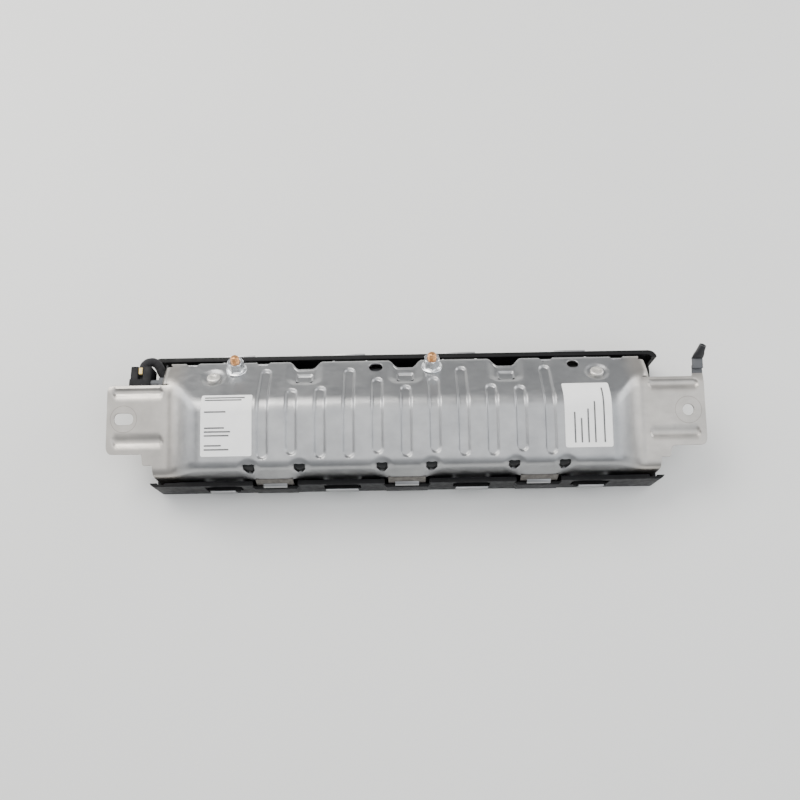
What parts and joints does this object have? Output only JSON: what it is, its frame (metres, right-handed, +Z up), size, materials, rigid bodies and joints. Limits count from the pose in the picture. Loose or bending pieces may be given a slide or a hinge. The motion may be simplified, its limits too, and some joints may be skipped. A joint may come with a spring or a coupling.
{
  "type": "knee airbag module",
  "caption": "Long steel-backed airbag module with ribbed pan, end flanges, studded gas generator, folded cushion and a black cover with two tear-open doors.",
  "frame": {"origin": "middle of the box at the level of the cover face that the module lies on", "axes": "+X along the module towards the flange with the round hole, +Y away from the near rail, +Z up through the steel back"},
  "size_m": [0.4, 0.0978, 0.0585],
  "materials": {
    "galvanised_steel": "satin galvanised",
    "inflator_steel": "satin",
    "initiator_metal": "satin",
    "plug_plastic": "matte",
    "clamp_steel": "satin",
    "stud_copper": "coppery passivated",
    "zinc_nut": "bright zinc",
    "cushion_fabric": "plain weave",
    "wrap_fabric": "non-woven",
    "cover_plastic": "fine-grained satin",
    "label_paper": "matte white",
    "rivet_steel": "satin",
    "lead_tape": "cloth tape",
    "grommet_rubber": "matte",
    "connector_plastic": "matte",
    "lock_plastic": "matte cream",
    "clip_grey": "matte textured",
    "clip_black": "matte"
  },
  "bodies": {
    "module": {"housing": "galvanised_steel", "inflator_tube": "inflator_steel", "diffuser_cap": "inflator_steel", "initiator": "initiator_metal", "igniter_plug": "plug_plastic", "clamp_left": "clamp_steel", "clamp_right": "clamp_steel", "stud_left": "stud_copper", "stud_right": "stud_copper", "nut_left": "zinc_nut", "nut_right": "zinc_nut", "heat_deflector": "clamp_steel", "cushion": "cushion_fabric", "cushion_wrap": "wrap_fabric", "cover_frame": "cover_plastic", "label_left": "label_paper", "label_right": "label_paper", "rivet_left": "rivet_steel", "rivet_right": "rivet_steel", "window_plugs": "plug_plastic", "ignition_lead": "lead_tape", "lead_grommet": "grommet_rubber", "connector_body": "connector_plastic", "connector_bracket": "clip_grey", "clip_base": "clip_grey", "clip_barrel": "clip_black"},
    "near_flap": {"near_door": "cover_plastic"},
    "far_flap": {"far_door": "cover_plastic"},
    "lock_slide": {"connector_lock": "lock_plastic"}
  },
  "joints": [
    {"name": "near_flap_hinge", "type": "hinge", "parent": "module", "child": "near_flap", "pos_m": [0, -0.03775, 0], "axis": [-1, 0, 0], "range_deg": [0, 110], "stiffness_Nm_per_rad": 2},
    {"name": "far_flap_hinge", "type": "hinge", "parent": "module", "child": "far_flap", "pos_m": [0, 0.03775, 0], "axis": [1, 0, 0], "range_deg": [0, 110], "stiffness_Nm_per_rad": 2},
    {"name": "connector_lock_slide", "type": "slide", "parent": "module", "child": "lock_slide", "axis": [0, -1, 0], "range_m": [0, 0.003]}
  ]
}
